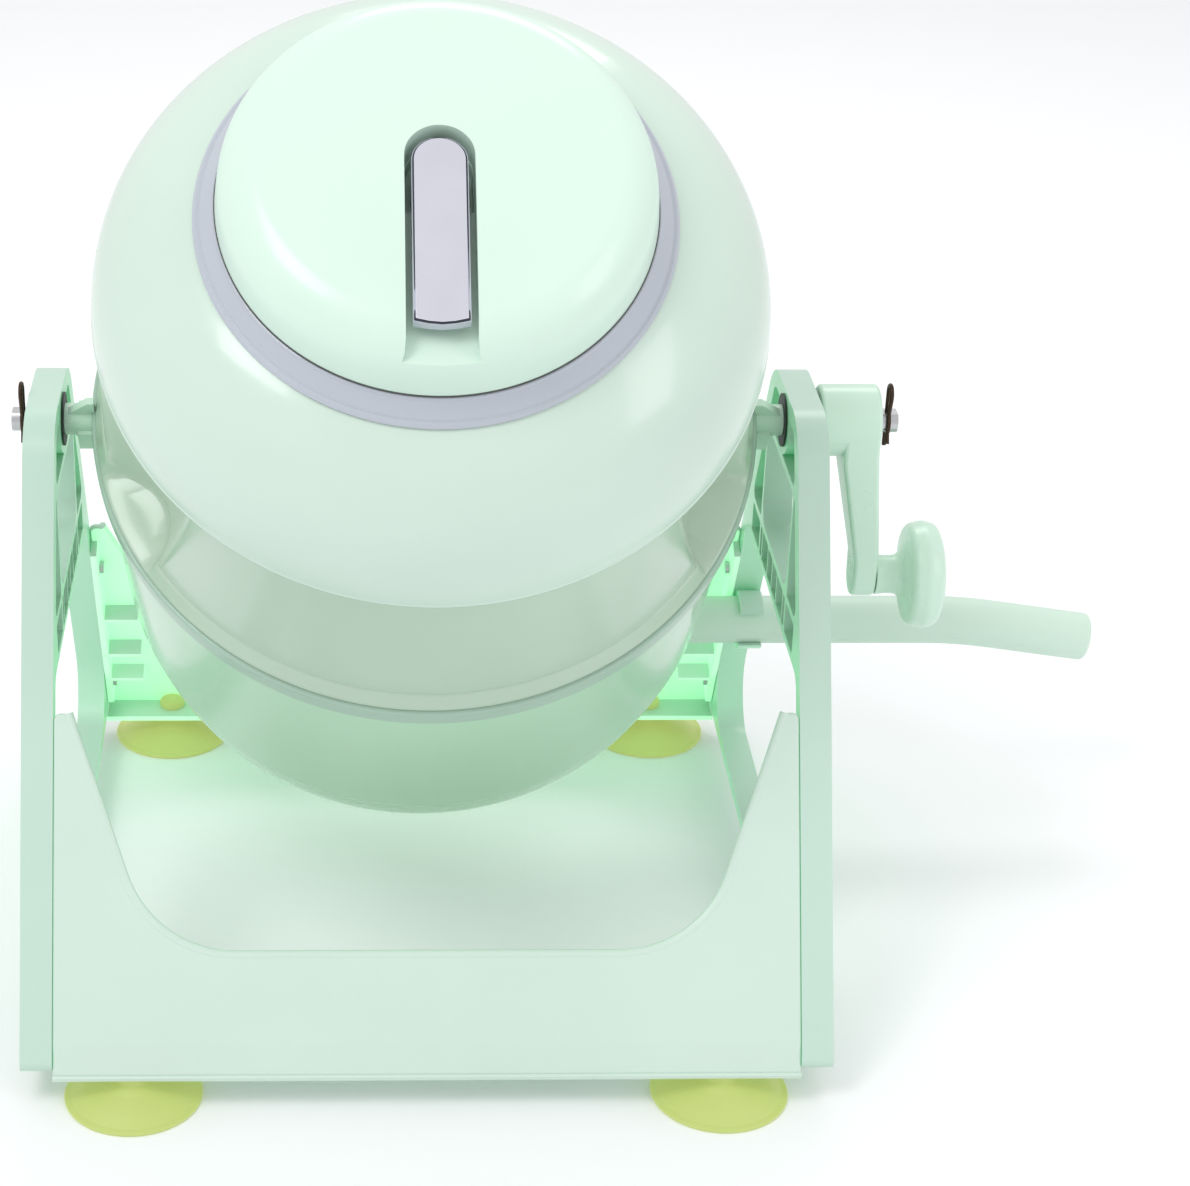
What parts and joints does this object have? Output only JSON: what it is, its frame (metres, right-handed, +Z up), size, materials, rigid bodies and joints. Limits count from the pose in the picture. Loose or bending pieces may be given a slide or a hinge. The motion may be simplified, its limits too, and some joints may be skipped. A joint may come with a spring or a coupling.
{
  "type": "hand-cranked washing machine",
  "caption": "Tabletop washing machine: a closed egg-shaped drum with a clamped lid turns in an A-frame stand by a hand crank; suction-cup feet, drain tube.",
  "frame": {"origin": "on the plane the machine stands on, under the middle of the whole machine (crank and drain tube included); the axle's middle, between the side frames, is 72.72 mm towards -X of it and 1.17 mm towards -Y", "axes": "+X along the axle towards the crank, +Y towards the back, +Z up; the drum's mouth leans towards -Y at rest"},
  "size_m": [0.4824, 0.353, 0.4164],
  "materials": {
    "frame_plastic": "semi-gloss",
    "front_plastic": "semi-gloss",
    "dome_plastic": "gloss",
    "bowl_plastic": "gloss",
    "hoop_plastic": "semi-gloss",
    "lid_plastic": "gloss",
    "crank_plastic": "semi-gloss",
    "tube_plastic": "satin",
    "nylon": "satin",
    "cup_vinyl": "translucent satin",
    "silver_collar": "satin silver paint",
    "bright_plate": "bright",
    "steel": "satin",
    "black_washer": "matte",
    "dark_wire": "dark oxide",
    "dark_rubber": "matte"
  },
  "bodies": {
    "stand": {"side_frame_left": "frame_plastic", "side_frame_right": "frame_plastic", "front_wall": "front_plastic", "rear_wall": "frame_plastic", "frame_screws": "steel", "bush_left": "nylon", "bush_right": "nylon", "tube_clip": "frame_plastic", "cup_front_left": "cup_vinyl", "cup_front_right": "cup_vinyl", "cup_rear_left": "cup_vinyl", "cup_rear_right": "cup_vinyl"},
    "drum": {"carrier_ring": "hoop_plastic", "tub_seal": "dark_rubber", "upper_tub": "dome_plastic", "lower_tub": "bowl_plastic", "neck_ring": "silver_collar", "axle_left": "steel", "axle_right": "steel", "washer_left": "black_washer", "washer_right": "black_washer", "crank": "crank_plastic", "clip_left": "dark_wire", "clip_right": "dark_wire", "knob_screw": "steel", "valve_seat": "nylon", "valve_nut": "nylon", "valve_spring": "steel"},
    "knob": {"crank_knob": "crank_plastic"},
    "valve": {"valve_plunger": "nylon", "valve_seal": "dark_rubber"},
    "lid": {"lid_cap": "lid_plastic", "lid_gasket": "dark_rubber"},
    "clamp": {"clamp_rod": "steel", "lever_pin": "steel", "pressure_plate": "dome_plastic", "clamp_nut": "steel"},
    "lever": {"lid_lever": "lid_plastic", "lever_plate": "bright_plate"},
    "tube": {"drain_tube": "tube_plastic"}
  },
  "joints": [
    {"name": "drum_spin", "type": "hinge", "parent": "stand", "child": "drum", "pos_m": [-0.07272, -0.00117, 0.2295], "axis": [-1, 0, 0], "continuous": true},
    {"name": "knob_spin", "type": "hinge", "parent": "drum", "child": "knob", "pos_m": [0.12728, -0.00117, 0.1588], "axis": [1, 0, 0], "continuous": true},
    {"name": "valve_push", "type": "slide", "parent": "drum", "child": "valve", "axis": [0, -0.6129, 0.7902], "range_m": [0, 0.0034], "stiffness_N_per_m": 300, "springref_m": -0.002, "deforming": ["valve_spring"]},
    {"name": "lid_lift", "type": "slide", "parent": "drum", "child": "lid", "axis": [0, 0.6129, -0.7902], "range_m": [-0.06, 0]},
    {"name": "lever_flip", "type": "hinge", "parent": "clamp", "child": "lever", "pos_m": [-0.07272, -0.11057, 0.37054], "axis": [1, 0, 0], "range_deg": [-90, 0]},
    {"name": "clamp_draw", "type": "slide", "parent": "lid", "child": "clamp", "axis": [0, -0.6129, 0.7902], "range_m": [-0.0018, 0]},
    {"name": "tube_pull", "type": "slide", "parent": "stand", "child": "tube", "axis": [1, 0, 0], "range_m": [0, 0.06]}
  ],
  "couplings": [
    {"joint": "clamp_draw", "follows": "lever_flip", "m_per_rad": 0.0010886}
  ]
}
